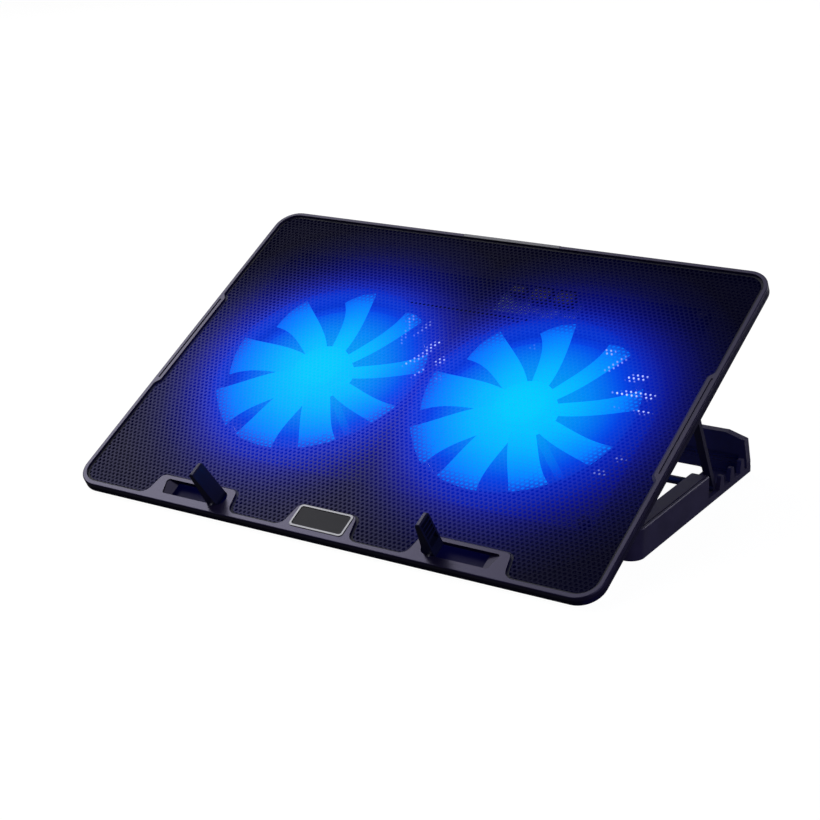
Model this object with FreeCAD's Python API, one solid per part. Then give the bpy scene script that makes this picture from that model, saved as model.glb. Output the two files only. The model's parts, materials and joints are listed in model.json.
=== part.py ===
import FreeCAD, Part
import math
import os

# Laptop cooling pad: a mesh-topped panel with two fans, hinged on a base frame and
# held up by a fold-out prop whose foot stands in the base's toothed side rails.
# Millimetres. X to the right, Y from the front edge to the back, Z up. The origin is
# on the table, in the middle of the object as it stands.

# ---- panel ----
panel_width = 380.0
panel_depth = 275.0
panel_corner_radius = 16.0
panel_tilt = 27.0             # degrees, prop in its front notch
frame_thickness = 3.0         # upper frame, above the seam
cover_rim_depth = 7.0         # underside of the rim, below the top face
seam_gap = 0.25
front_edge_gap = 0.3          # table to the panel's lower front edge
side_rim = 2.8
front_rim = 3.2
window_corner_radius = 13.0
wall = 2.0
cover_floor = 1.4

# ---- raised lands on the front rim ----
stop_land_inner = 65.5        # from the middle to the land's foot, nearer side
stop_land_width = 66.0
stop_land_margin = 2.45       # behind the stop's bay
badge_land_width = 49.0
badge_land_back = 21.5
land_slant = 3.5              # how far each side leans in, foot to back edge
land_foot_fillet = 7.0
land_back_fillet = 4.0

# ---- side grips ----
grip_front = 97.0
grip_length = 83.0
grip_step = 3.2
grip_ramp = 4.0
grip_groove_inset = 2.6       # panel's side to the groove
grip_groove_width = 1.4
grip_groove_depth = 0.6

# ---- mesh ----
mesh_thickness = 0.8
mesh_recess = 1.5
mesh_tuck = 1.0               # hidden edge under the frame's lip
edge_clearance = 0.1

# ---- flip-up stops ----
stop_pivot_x = 80.0
stop_pivot_depth = 0.4
stop_middle_y = 12.2
stop_length = 25.5
stop_width = 11.2
stop_tip_thickness = 3.2
stop_shell = 1.3
stop_drum_radius = 3.9
stop_pin_radius = 1.0
stop_raised_left = 77.0       # degrees from flat in its bay
stop_raised_right = 90.0
bay_side_gap = 0.3            # each side of the stop
bay_near_radius = 5.2
bay_end_gap = 7.5             # past the pivot
bay_length = 50.5
bay_taper = 3.5
stop_pin_seat = 1.2           # each end in the frame
ramp_length = 5.0

# ---- badge ----
badge_width = 39.0
badge_depth = 17.0
badge_middle_y = 13.0
badge_radius = 2.5
bezel_width = 1.2
badge_recess = 1.2
bezel_height = 0.5

# ---- rear trim ----
trim_width = 75.0
trim_middle_x = 0.0
trim_height = 0.9

# ---- fan chamber ----
chamber_width = 330.0
chamber_front = 48.0
chamber_back = 243.0
chamber_depth = 20.0
chamber_radius = 12.0
floor_thickness = 2.0
intake_lip = 4.5              # blade tip to the intake's edge
filter_thickness = 0.4
grille_rings = (24.0, 39.0, 54.0)
grille_bar = 2.0
grille_spokes = 6
cover_screw_radius = 1.3
cover_screw_head = 2.6
cover_screw_head_height = 1.4
cover_screw_length = 11.0
screw_head_sink = 1.6

# ---- fans ----
fan_spacing = 154.0
fan_middle_y = 137.0
blade_radius = 73.5
blade_count = 9
blade_thickness = 1.4
blade_pitch = 21.0            # degrees
blade_phase = 11.5
tip_clearance = 1.1
fan_ring_wall = 1.7
fan_top = 4.2                 # below the panel's top face
fan_height = chamber_depth - floor_thickness - fan_top
hub_radius = 20.0
hub_wall = 1.6
strut_count = 4
strut_width = 5.0
strut_height = 1.8
shaft_radius = 1.5
running_clearance = 0.04
bearing_wall = 1.5
magnet_wall = 1.5
stator_radius = 13.5
led_radius = 1.5
led_count = 4
lug_radius = 4.0
fan_screw_radius = 1.4
fan_screw_head = 2.4
fan_screw_head_height = 1.2
fan_screw_length = 5.0

# ---- electrics ----
board_width = 60.0
board_depth = 22.0
board_thickness = 1.6
board_middle_x = 40.0
usb_width = 13.2
usb_height = 5.8
usb_length = 14.0
usb_wall = 0.4
usb_spacing = 18.0
switch_width = 10.0
switch_height = 5.6
switch_length = 7.0
switch_travel = 3.0
lead_radius = 0.8

# ---- hinge and prop pivots ----
hinge_y = 78.4                # along the panel from its front edge
pivot_depth = 11.3            # hinge and prop axes below the top face
prop_pivot_y = 166.5
hinge_pin_radius = 2.0
prop_pin_radius = 1.5
knuckle_clearance = 0.45      # hinge ear to the rim above it
eye_radius = 4.2
knuckle_gap = 0.4
hinge_ear_width = 4.0
lug_width = 3.6
foot_rest_height = 6.4        # foot bar's axis above the table
foot_to_tooth = 4.35          # foot bar's axis to the tooth behind it
foot_side_gap = 0.3           # foot bar's end to the toothed wall
prop_leg_width = 5.0
prop_leg_thickness = 3.4
prop_foot_radius = 2.7
sleeve_length = 16.0
sleeve_wall = 0.7

# ---- base ----
base_inset = 8.0              # panel's side to the base's side
arm_width = 12.5
arm_height = 20.0
arm_front = 70.0              # from the panel's front edge, along the table
arm_back = 170.0
arm_end_radius = 9.0
base_back = 234.0
rear_wall_height = 27.0
rear_wall_thickness = 6.0
rear_corner_drop = 3.8
rear_corner_run = 15.0
crossbar_height = 9.0
crossbar_depth = 11.0
rail_floor = 0.9
rail_floor_width = 26.0
opening_radius = 12.0
arm_groove_inset = 1.5
arm_groove_width = 0.8
arm_groove_depth = 0.7
comb_wall = 2.8
comb_sill = 5.0
tooth_height = 13.6
tooth_radius = 2.0
tooth_count = 3
tooth_pitch = 15.8
tooth_first = 189.0
foot_pad_height = 0.6
foot_pad_thickness = 1.0

tilt = math.radians(panel_tilt)
top_edge_height = front_edge_gap + cover_rim_depth * math.cos(tilt)
stop_tip = (stop_middle_y - stop_width / 2,
            stop_length - stop_pivot_depth)
front_reach = stop_tip[0] * math.cos(tilt) - stop_tip[1] * math.sin(tilt)
back_reach = panel_depth * math.cos(tilt) + cover_rim_depth * math.sin(tilt)
origin_y = (front_reach + back_reach) / 2

bay_front = stop_middle_y - stop_width / 2 - bay_side_gap
bay_back = stop_middle_y + stop_width / 2 + bay_side_gap
stop_land_back = bay_back + stop_land_margin
base_half_width = panel_width / 2 - base_inset
knuckle_radius = pivot_depth - cover_rim_depth - knuckle_clearance
intake_radius = blade_radius - intake_lip
prop_outer_x = base_half_width - comb_wall - foot_side_gap
foot_rest_y = tooth_first - foot_to_tooth
prop_pivot_table_y = prop_pivot_y * math.cos(tilt) + pivot_depth * math.sin(tilt)
prop_pivot_table_z = prop_pivot_y * math.sin(tilt) - pivot_depth * math.cos(tilt) + top_edge_height
prop_length = math.hypot(foot_rest_y - prop_pivot_table_y, foot_rest_height - prop_pivot_table_z)
prop_slope = math.degrees(math.atan2(foot_rest_height - prop_pivot_table_z, foot_rest_y - prop_pivot_table_y))
prop_lean = prop_slope - panel_tilt


def vec(x, y, z=0.0):
    return FreeCAD.Vector(x, y, z)


def box(x0, x1, y0, y1, z0, z1):
    return Part.makeBox(x1 - x0, y1 - y0, z1 - z0, vec(x0, y0, z0))


def cylinder(centre, axis, radius, length):
    """Cylinder of the given length, centred on a point."""
    start = vec(*centre) - vec(*axis) * (length / 2)
    return Part.makeCylinder(radius, length, start, vec(*axis))


def outline(corners):
    """Closed wire through (x, y, radius) corners, with a tangent arc at each."""
    edges = []
    ends = []
    for i, (x, y, radius) in enumerate(corners):
        here = vec(x, y)
        before = vec(*corners[i - 1][:2])
        after = vec(*corners[(i + 1) % len(corners)][:2])
        inward = (before - here).normalize()
        onward = (after - here).normalize()
        half = inward.getAngle(onward) / 2
        reach = radius / math.tan(half)
        middle = here + (inward + onward).normalize() * (radius / math.sin(half) - radius)
        ends.append((here + inward * reach, middle, here + onward * reach))
    for i, (start, middle, end) in enumerate(ends):
        edges.append(Part.Arc(start, middle, end).toShape())
        following = ends[(i + 1) % len(ends)][0]
        if (following - end).Length > 1e-6:
            edges.append(Part.LineSegment(end, following).toShape())
    return Part.Wire(edges)


def plate(wire, z0, z1):
    shape = Part.Face(wire).extrude(vec(0, 0, z1 - z0))
    shape.translate(vec(0, 0, z0))
    return shape


def rounded_plate(x0, x1, y0, y1, radius, z0, z1):
    corners = [(x0, y0, radius), (x1, y0, radius), (x1, y1, radius), (x0, y1, radius)]
    return plate(outline(corners), z0, z1)


def mirrored(shape):
    return shape.mirror(vec(0, 0, 0), vec(1, 0, 0))


def both_sides(shape):
    return [shape, mirrored(shape)]


def fused(shapes):
    result = shapes[0].multiFuse(shapes[1:]) if len(shapes) > 1 else shapes[0]
    return result.removeSplitter()


def place_on_panel(shape):
    """Move a shape from the flat panel's frame to where the tilted panel stands."""
    moved = shape.copy()
    moved.rotate(vec(0, 0, 0), vec(1, 0, 0), panel_tilt)
    moved.translate(vec(0, -origin_y, top_edge_height))
    return moved


def panel_point(x, y, height):
    """Where a point of the flat panel's frame stands, in the object's frame."""
    return vec(x,
               y * math.cos(tilt) - height * math.sin(tilt) - origin_y,
               y * math.sin(tilt) + height * math.cos(tilt) + top_edge_height)


def place_on_table(shape):
    moved = shape.copy()
    moved.translate(vec(0, -origin_y, 0))
    return moved


def land_corners(middle, width, back):
    """Four corners of a raised land on the front rim, left to right."""
    foot = width / 2
    head = foot - land_slant
    return [(middle - foot, front_rim, land_foot_fillet), (middle - head, back, land_back_fillet),
            (middle + head, back, land_back_fillet), (middle + foot, front_rim, land_foot_fillet)]


def window_wire():
    """The mesh opening: straight at the back, stepped at the grips, with lands in front."""
    side = panel_width / 2 - side_rim
    back = panel_depth - side_rim
    grip_side = side - grip_step
    grip_back = grip_front + grip_length
    stop_land_middle = stop_land_inner + stop_land_width / 2
    corners = [(-side, front_rim, window_corner_radius)]
    corners += land_corners(-stop_land_middle, stop_land_width, stop_land_back)
    corners += land_corners(0, badge_land_width, badge_land_back)
    corners += land_corners(stop_land_middle, stop_land_width, stop_land_back)
    corners += [(side, front_rim, window_corner_radius), (side, grip_front - grip_ramp, 3),
                (grip_side, grip_front, 3), (grip_side, grip_back, 3), (side, grip_back + grip_ramp, 3),
                (side, back, window_corner_radius), (-side, back, window_corner_radius),
                (-side, grip_back + grip_ramp, 3), (-grip_side, grip_back, 3),
                (-grip_side, grip_front, 3), (-side, grip_front - grip_ramp, 3)]
    return outline(corners)


def bay_wire():
    """Recess that a folded stop lies in, on the right-hand land."""
    near = stop_pivot_x - bay_end_gap
    far = near + bay_length
    return outline([(near, bay_front, bay_near_radius), (far - bay_taper, bay_front, 2),
                    (far, bay_back, 2), (near, bay_back, bay_near_radius)])


def finger_ramp():
    """Sloped floor at the far end of a stop's bay, for a fingertip."""
    far = stop_pivot_x - bay_end_gap + bay_length
    start = far - bay_taper - ramp_length
    profile = Part.makePolygon([vec(start, bay_front, -frame_thickness), vec(far, bay_front, -frame_thickness),
                                vec(far, bay_front, -0.4), vec(start, bay_front, -frame_thickness)])
    ramp = Part.Face(profile).extrude(vec(0, bay_back - bay_front, 0))
    return ramp.common(plate(bay_wire(), -frame_thickness, 0))


def rear_trim_box(margin):
    half = trim_width / 2 + margin
    inner = panel_depth - side_rim
    return box(trim_middle_x - half, trim_middle_x + half, inner - margin, panel_depth + margin,
               -trim_height - margin, 1.0 if margin else 0.0)


def top_frame():
    half = panel_width / 2
    body = rounded_plate(-half, half, 0, panel_depth, panel_corner_radius, -frame_thickness, 0)
    top_edges = [e for e in body.Edges if abs(e.BoundBox.ZMin) < 1e-6 and abs(e.BoundBox.ZMax) < 1e-6]
    body = body.makeFillet(0.7, top_edges)
    body = body.cut(plate(window_wire(), -frame_thickness - 1, 1))
    rebate = Part.Face(window_wire()).makeOffset2D(mesh_tuck + edge_clearance)
    rebate = rebate.extrude(vec(0, 0, frame_thickness - mesh_recess))
    rebate.translate(vec(0, 0, -frame_thickness))
    body = body.cut(rebate)
    for bay in both_sides(plate(bay_wire(), -frame_thickness - 1, 1)):
        body = body.cut(bay)
    body = fused([body] + both_sides(finger_ramp()))
    groove_outer = half - grip_groove_inset
    groove = rounded_plate(groove_outer - grip_groove_width, groove_outer, grip_front + grip_groove_width,
                           grip_front + grip_length - grip_groove_width, grip_groove_width * 0.45,
                           -grip_groove_depth, 1)
    for channel in both_sides(groove):
        body = body.cut(channel)
    for side in (-1, 1):
        centre = (side * stop_pivot_x, stop_middle_y, -stop_pivot_depth)
        body = body.cut(cylinder(centre, (0, 1, 0), stop_pin_radius,
                                 bay_back - bay_front + 2 * stop_pin_seat + 0.2))
    half_badge = badge_width / 2 + edge_clearance
    badge_front = badge_middle_y - badge_depth / 2 - edge_clearance
    badge_rear = badge_middle_y + badge_depth / 2 + edge_clearance
    body = body.cut(rounded_plate(-half_badge, half_badge, badge_front, badge_rear,
                                  badge_radius, -badge_recess, 1))
    return body.cut(rear_trim_box(edge_clearance))


def mesh_screen():
    face = Part.Face(window_wire()).makeOffset2D(mesh_tuck)
    screen = face.extrude(vec(0, 0, mesh_thickness))
    screen.translate(vec(0, 0, -mesh_recess - mesh_thickness))
    return screen


def badge_bezel():
    half = badge_width / 2
    front = badge_middle_y - badge_depth / 2
    back = badge_middle_y + badge_depth / 2
    ring = rounded_plate(-half, half, front, back, badge_radius, -badge_recess, bezel_height)
    inner = rounded_plate(-half + bezel_width, half - bezel_width, front + bezel_width, back - bezel_width,
                          badge_radius - bezel_width / 2, -badge_recess - 1, bezel_height + 1)
    return ring.cut(inner)


def badge_plate():
    inset = bezel_width + edge_clearance
    half = badge_width / 2 - inset
    front = badge_middle_y - badge_depth / 2 + inset
    back = badge_middle_y + badge_depth / 2 - inset
    return rounded_plate(-half, half, front, back, badge_radius - bezel_width / 2 - edge_clearance,
                         -badge_recess, 0.1)


def rear_trim():
    trim = rear_trim_box(0.0)
    return trim.makeFillet(0.3, [e for e in trim.Edges if e.BoundBox.ZMin > -1e-6])


def chamber_block(inset, bottom, top):
    half = chamber_width / 2 - inset
    return rounded_plate(-half, half, chamber_front + inset, chamber_back - inset,
                         chamber_radius - inset, bottom, top)


def fan_centres():
    return {"left": (-fan_spacing / 2, fan_middle_y), "right": (fan_spacing / 2, fan_middle_y)}


def grille_bars(x, y):
    """Rings and spokes that guard one intake."""
    bars = []
    thickness = floor_thickness - filter_thickness
    for radius in grille_rings:
        ring = cylinder((x, y, -chamber_depth + thickness / 2), (0, 0, 1), radius + grille_bar, thickness)
        bars.append(ring.cut(cylinder((x, y, -chamber_depth), (0, 0, 1), radius, 4 * thickness)))
    for i in range(grille_spokes):
        spoke = box(x + grille_rings[0] + grille_bar / 2, x + intake_radius + 1, y - grille_bar / 2,
                    y + grille_bar / 2, -chamber_depth, -chamber_depth + thickness)
        spoke.rotate(vec(x, y), vec(0, 0, 1), 360 * i / grille_spokes)
        bars.append(spoke)
    return bars


def dust_filter(x, y):
    """Thin gauze disc on top of the intake's bars, level with the chamber's floor."""
    middle = -chamber_depth + floor_thickness - filter_thickness / 2
    return cylinder((x, y, middle), (0, 0, 1), intake_radius - edge_clearance, filter_thickness)


def pivot_lug(x0, x1, y, radius):
    """Lug that hangs from the rim's underside round a pivot axis along X."""
    lug = cylinder(((x0 + x1) / 2, y, -pivot_depth), (1, 0, 0), radius, x1 - x0)
    neck = box(x0, x1, y - radius, y + radius, -pivot_depth, -cover_rim_depth + 0.5)
    return fused([lug, neck])


def hinge_ear_middle():
    return base_half_width - arm_width + 3.6


def hinge_lugs():
    middle = hinge_ear_middle()
    gap = hinge_ear_width / 2 + knuckle_gap
    return [(middle - gap - lug_width, middle - gap), (middle + gap, middle + gap + lug_width)]


def prop_lugs():
    inner = prop_outer_x - prop_leg_width - knuckle_gap
    outer = prop_outer_x + knuckle_gap
    return [(inner - lug_width, inner), (outer, outer + lug_width)]


def usb_middles():
    return [board_middle_x, board_middle_x + usb_spacing]


def switch_middle_x():
    return board_middle_x - usb_spacing


def electrics_height():
    return -chamber_depth + floor_thickness + 3.6 + board_thickness


def cover_screw_points():
    x = chamber_width / 2 - 9
    return [(sx * x, y) for sx in (-1, 1) for y in (chamber_front + 9, chamber_back - 9)]


def bottom_cover():
    half = panel_width / 2
    rim_top = -frame_thickness - seam_gap
    tray = rounded_plate(-half, half, 0, panel_depth, panel_corner_radius, -cover_rim_depth, rim_top)
    bottom_edges = [e for e in tray.Edges if e.BoundBox.ZMax < -cover_rim_depth + 1e-6]
    tray = tray.makeFillet(0.8, bottom_edges)
    lip = rounded_plate(-half + 0.8, half - 0.8, 0.8, panel_depth - 0.8, panel_corner_radius - 0.8,
                        -cover_rim_depth + 1, -frame_thickness)
    body = fused([tray, lip, chamber_block(0, -chamber_depth, -cover_rim_depth + 0.5)])
    foot_edges = [e for e in body.Edges if e.BoundBox.ZMax < -chamber_depth + 1e-6]
    body = body.makeChamfer(3.0, foot_edges)
    body = body.cut(rounded_plate(-half + 2.6, half - 2.6, 2.6, panel_depth - 2.6, panel_corner_radius - 2.6,
                                  -cover_rim_depth + cover_floor, 0))
    cavity = chamber_block(wall, -chamber_depth + floor_thickness, 0)
    cavity_foot = [e for e in cavity.Edges if e.BoundBox.ZMax < -chamber_depth + floor_thickness + 1e-6]
    body = body.cut(cavity.makeChamfer(2.2, cavity_foot))
    for x, y in fan_centres().values():
        body = body.cut(cylinder((x, y, -chamber_depth), (0, 0, 1), intake_radius, 8))
    additions = []
    for x, y in fan_centres().values():
        additions += grille_bars(x, y)
    for x0, x1 in hinge_lugs():
        additions += both_sides(pivot_lug(x0, x1, hinge_y, knuckle_radius))
    for x0, x1 in prop_lugs():
        additions += both_sides(pivot_lug(x0, x1, prop_pivot_y, knuckle_radius))
    for x, y in cover_screw_points():
        additions.append(cylinder((x, y, (-chamber_depth - frame_thickness) / 2), (0, 0, 1), 3.5,
                                  chamber_depth - frame_thickness - 1.0))
    body = fused([body] + additions)
    for side in (-1, 1):
        body = body.cut(cylinder((side * hinge_ear_middle(), hinge_y, -pivot_depth), (1, 0, 0),
                                 hinge_pin_radius + running_clearance, 20))
        body = body.cut(cylinder((side * (prop_outer_x - prop_leg_width / 2), prop_pivot_y, -pivot_depth),
                                 (1, 0, 0), prop_pin_radius, 20))
    for x, y in cover_screw_points():
        body = body.cut(cylinder((x, y, -chamber_depth), (0, 0, 1), cover_screw_radius,
                                 2 * (cover_screw_length + screw_head_sink)))
        body = body.cut(cylinder((x, y, -chamber_depth), (0, 0, 1), cover_screw_head + 0.2,
                                 2 * screw_head_sink))
    for x, y in fan_centres().values():
        for lx, ly in fan_lug_points(x, y):
            body = body.cut(cylinder((lx, ly, -chamber_depth), (0, 0, 1), fan_screw_radius + 0.1, 8))
            body = body.cut(cylinder((lx, ly, -chamber_depth), (0, 0, 1), fan_screw_head + 0.2,
                                     2 * fan_screw_head_height))
    port_height = electrics_height() + usb_height / 2
    for x in usb_middles():
        body = body.cut(box(x - usb_width / 2 - 0.2, x + usb_width / 2 + 0.2, chamber_back - wall - 1,
                            chamber_back + 1, port_height - usb_height / 2 - 0.2, port_height + usb_height / 2 + 0.2))
    slot = switch_travel + 4.4
    x = switch_middle_x()
    return body.cut(box(x - slot / 2, x + slot / 2, chamber_back - wall - 1, chamber_back + 1,
                        port_height - 1.6, port_height + 1.6))


def screw(x, y, head_z, radius, head_radius, head_height, length):
    """Screw driven upwards, its pan head lowest, with a cross recess."""
    head = cylinder((x, y, head_z + head_height / 2), (0, 0, 1), head_radius, head_height)
    shank = cylinder((x, y, head_z + head_height + length / 2), (0, 0, 1), radius, length)
    body = fused([head, shank])
    for along_x in (True, False):
        long_side = head_radius * 0.6
        dx, dy = (long_side, 0.3) if along_x else (0.3, long_side)
        body = body.cut(box(x - dx, x + dx, y - dy, y + dy, head_z - 1, head_z + head_height * 0.6))
    return body


def cover_screws():
    head_bottom = -chamber_depth + screw_head_sink - cover_screw_head_height
    return [screw(x, y, head_bottom, cover_screw_radius, cover_screw_head, cover_screw_head_height,
                  cover_screw_length) for x, y in cover_screw_points()]


def fan_lug_points(x, y):
    reach = blade_radius + tip_clearance + 1.5
    angles = (55, 125, 235, 305)
    return [(x + reach * math.cos(math.radians(a)), y + reach * math.sin(math.radians(a))) for a in angles]


def fan_frame(x, y):
    """Ring, four struts and the motor's seat, open above the blades."""
    top = -fan_top
    bottom = top - fan_height
    inner = blade_radius + tip_clearance
    height = fan_height
    middle = (top + bottom) / 2
    ring = cylinder((x, y, middle), (0, 0, 1), inner + fan_ring_wall, height)
    parts = [ring]
    for lx, ly in fan_lug_points(x, y):
        parts.append(cylinder((lx, ly, bottom + 2.5), (0, 0, 1), lug_radius, 5))
    body = fused(parts).cut(cylinder((x, y, middle), (0, 0, 1), inner, height + 2))
    seat = cylinder((x, y, bottom + strut_height / 2), (0, 0, 1), hub_radius, strut_height)
    struts = [seat]
    for i in range(strut_count):
        strut = box(x + hub_radius - 2, x + inner + 0.5, y - strut_width / 2, y + strut_width / 2,
                    bottom, bottom + strut_height)
        strut.rotate(vec(x, y), vec(0, 0, 1), 45 + 360 * i / strut_count)
        struts.append(strut)
    tube = cylinder((x, y, bottom + 4.6), (0, 0, 1), shaft_radius + bearing_wall + 1.0, 9.2)
    body = fused([body, tube] + struts)
    body = body.cut(cylinder((x, y, bottom + 7), (0, 0, 1), shaft_radius + bearing_wall, 12))
    for lx, ly in fan_lug_points(x, y):
        body = body.cut(cylinder((lx, ly, bottom), (0, 0, 1), fan_screw_radius, 2 * fan_screw_length))
    for lx, ly in led_points(x, y):
        body = body.cut(cylinder((lx, ly, led_height()), led_direction(x, y, lx, ly), led_radius + 0.1, 8))
    return body


def fan_screws(x, y):
    return [screw(lx, ly, -chamber_depth, fan_screw_radius, fan_screw_head, fan_screw_head_height,
                  fan_screw_length) for lx, ly in fan_lug_points(x, y)]


def led_height():
    return -fan_top - 6.5


def led_points(x, y):
    reach = blade_radius + tip_clearance + fan_ring_wall / 2
    angles = [15 + 360 * i / led_count for i in range(led_count)]
    return [(x + reach * math.cos(math.radians(a)), y + reach * math.sin(math.radians(a))) for a in angles]


def led_direction(x, y, lx, ly):
    inward = vec(x - lx, y - ly).normalize()
    return (inward.x, inward.y, 0)


def leds(x, y):
    """Light-emitting diodes in the ring's wall, flush with its inner face."""
    lamps = []
    for lx, ly in led_points(x, y):
        lamps.append(cylinder((lx, ly, led_height()), led_direction(x, y, lx, ly), led_radius, fan_ring_wall))
    return lamps


def blade(x, y, turn):
    """One swept blade: its outline seen from above, cut from a pitched slab."""
    def polar(radius, angle):
        a = math.radians(turn + angle)
        return vec(x + radius * math.cos(a), y + radius * math.sin(a))
    root = hub_radius - 1.0
    middle = (hub_radius + blade_radius) / 2
    lead = Part.Arc(polar(root, 17), polar(middle, 14.0), polar(blade_radius, 18.5)).toShape()
    tip = Part.Arc(polar(blade_radius, 18.5), polar(blade_radius, 8), polar(blade_radius, -2.5)).toShape()
    trail = Part.Arc(polar(blade_radius, -2.5), polar(middle, -8.5), polar(root, -19)).toShape()
    inner = Part.LineSegment(polar(root, -19), polar(root, 17)).toShape()
    prism = Part.Face(Part.Wire([lead, tip, trail, inner])).extrude(vec(0, 0, 16))
    prism.translate(vec(0, 0, -fan_top - 14.5))
    level = -fan_top - 5.6
    slab = box(x, x + blade_radius + 5, y - 30, y + 30, level - blade_thickness / 2, level + blade_thickness / 2)
    slab.rotate(vec(x, y, level), vec(1, 0, 0), -blade_pitch)
    slab.rotate(vec(x, y), vec(0, 0, 1), turn + 6)
    low = -fan_top - fan_height + strut_height + 0.8
    window = cylinder((x, y, (low - fan_top - 0.4) / 2), (0, 0, 1), blade_radius + 1, -fan_top - 0.4 - low)
    return prism.common(slab).common(window)


def fan_rotor(x, y):
    top = -fan_top - 0.3
    low = -fan_top - fan_height + strut_height + 0.8
    cup = cylinder((x, y, (top + low) / 2), (0, 0, 1), hub_radius, top - low)
    crown = [e for e in cup.Edges if e.BoundBox.ZMin > top - 1e-6]
    cup = cup.makeFillet(1.2, crown)
    blades = [blade(x, y, blade_phase + 360 * i / blade_count) for i in range(blade_count)]
    body = fused([cup] + blades)
    body = body.cut(cylinder((x, y, low + 3), (0, 0, 1), hub_radius - hub_wall, 2 * (top - hub_wall - low - 3)))
    boss = cylinder((x, y, top - hub_wall - 0.7), (0, 0, 1), shaft_radius + 1.6, 1.6)
    return fused([body, boss]).cut(cylinder((x, y, top - hub_wall - 1), (0, 0, 1), shaft_radius, 3.0))


def rotor_magnet(x, y):
    top = -fan_top - 0.3 - hub_wall
    low = -fan_top - fan_height + strut_height + 1.4
    outer = hub_radius - hub_wall
    ring = cylinder((x, y, (top - 0.8 + low) / 2), (0, 0, 1), outer, top - 0.8 - low)
    return ring.cut(cylinder((x, y, low), (0, 0, 1), outer - magnet_wall, 30))


def fan_shaft(x, y):
    top = -fan_top - 0.3 - hub_wall + 0.5
    low = -fan_top - fan_height + 1.4
    return cylinder((x, y, (top + low) / 2), (0, 0, 1), shaft_radius, top - low)


def fan_bearing(x, y):
    low = -fan_top - fan_height + 1.2
    sleeve = cylinder((x, y, low + 4), (0, 0, 1), shaft_radius + bearing_wall, 8)
    return sleeve.cut(cylinder((x, y, low + 5.2), (0, 0, 1), shaft_radius + running_clearance, 10))


def stator(x, y):
    """Laminated core with four wound poles on the bearing tube."""
    low = -fan_top - fan_height + strut_height + 1.6
    hole = shaft_radius + bearing_wall + 1.0
    core = cylinder((x, y, low + 2.6), (0, 0, 1), hole + 2.2, 4.0)
    parts = [core]
    for i in range(4):
        arm = box(x + hole + 1, x + stator_radius - 1, y - 1.8, y + 1.8, low + 0.6, low + 4.6)
        coil = box(x + hole + 2.6, x + stator_radius - 2.4, y - 3.2, y + 3.2, low, low + 5.2)
        shoe = cylinder((x, y, low + 2.6), (0, 0, 1), stator_radius, 4.0)
        shoe = shoe.cut(cylinder((x, y, low), (0, 0, 1), stator_radius - 1.6, 20))
        shoe = shoe.common(box(x, x + 20, y - 6, y + 6, low - 5, low + 10))
        for piece in (arm, coil, shoe):
            piece.rotate(vec(x, y), vec(0, 0, 1), 90 * i)
            parts.append(piece)
    return fused(parts).cut(cylinder((x, y, low), (0, 0, 1), hole, 30))


def motor_board(x, y):
    low = -fan_top - fan_height + strut_height
    board = cylinder((x, y, low + 0.5), (0, 0, 1), hub_radius - 3.5, 1.0)
    return board.cut(cylinder((x, y, low), (0, 0, 1), shaft_radius + bearing_wall + 1.0, 6))


def control_board():
    top = electrics_height()
    half = board_width / 2
    back = chamber_back - wall - 0.6
    board = box(board_middle_x - half, board_middle_x + half, back - board_depth, back,
                top - board_thickness, top)
    chip = box(board_middle_x - 4, board_middle_x + 4, back - board_depth + 2, back - board_depth + 7, top, top + 1.4)
    choke = cylinder((board_middle_x + 16, back - board_depth + 4.6, top + 1.2), (0, 0, 1), 2.6, 2.4)
    legs = []
    for side in (-1, 1):
        x = board_middle_x + side * (half - 4)
        low = -chamber_depth + floor_thickness
        legs.append(box(x - 2, x + 2, back - board_depth / 2 - 2, back - board_depth / 2 + 2,
                        low, top - board_thickness))
    return fused([board, chip, choke] + legs)


def usb_socket(x):
    bottom = electrics_height()
    back = chamber_back + 0.4
    shell = box(x - usb_width / 2, x + usb_width / 2, back - usb_length, back, bottom, bottom + usb_height)
    inside = box(x - usb_width / 2 + usb_wall, x + usb_width / 2 - usb_wall, back - usb_length + 2, back + 1,
                 bottom + usb_wall, bottom + usb_height - usb_wall)
    tongue = box(x - 5.2, x + 5.2, back - usb_length + 1, back - 1, bottom + usb_height - 2.6,
                 bottom + usb_height - 0.8)
    return fused([shell.cut(inside), tongue])


def switch_body():
    bottom = electrics_height()
    x = switch_middle_x()
    back = chamber_back - wall - 0.3
    body = box(x - switch_width / 2, x + switch_width / 2, back - switch_length, back, bottom,
               bottom + switch_height)
    slot = switch_travel + 3.2
    return body.cut(box(x - slot / 2, x + slot / 2, back - 4, back + 1, bottom + switch_height / 2 - 1.3,
                        bottom + switch_height / 2 + 1.3))


def switch_slider():
    bottom = electrics_height()
    x = switch_middle_x() - switch_travel / 2
    middle = bottom + switch_height / 2
    back = chamber_back - wall - 0.3
    return box(x - 1.3, x + 1.3, back - 3.6, chamber_back + 1.2, middle - 1.0, middle + 1.0)


def lead(points):
    """Round lead along straight runs joined by tangent arcs."""
    edges = []
    at = vec(*points[0])
    for i in range(1, len(points) - 1):
        corner = vec(*points[i])
        before = vec(*points[i - 1]) - corner
        after = vec(*points[i + 1]) - corner
        shorter = min(before.Length, after.Length)
        before.normalize()
        after.normalize()
        half = before.getAngle(after) / 2
        reach = 0.45 * shorter
        radius = reach * math.tan(half)
        start = corner + before * reach
        end = corner + after * reach
        middle = corner + (before + after).normalize() * (radius / math.sin(half) - radius)
        edges.append(Part.LineSegment(at, start).toShape())
        edges.append(Part.Arc(start, middle, end).toShape())
        at = end
    edges.append(Part.LineSegment(at, vec(*points[-1])).toShape())
    path = Part.Wire(edges)
    direction = (vec(*points[1]) - vec(*points[0])).normalize()
    section = Part.Wire(Part.makeCircle(lead_radius, vec(*points[0]), direction))
    return path.makePipeShell([section], True, False)


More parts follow.
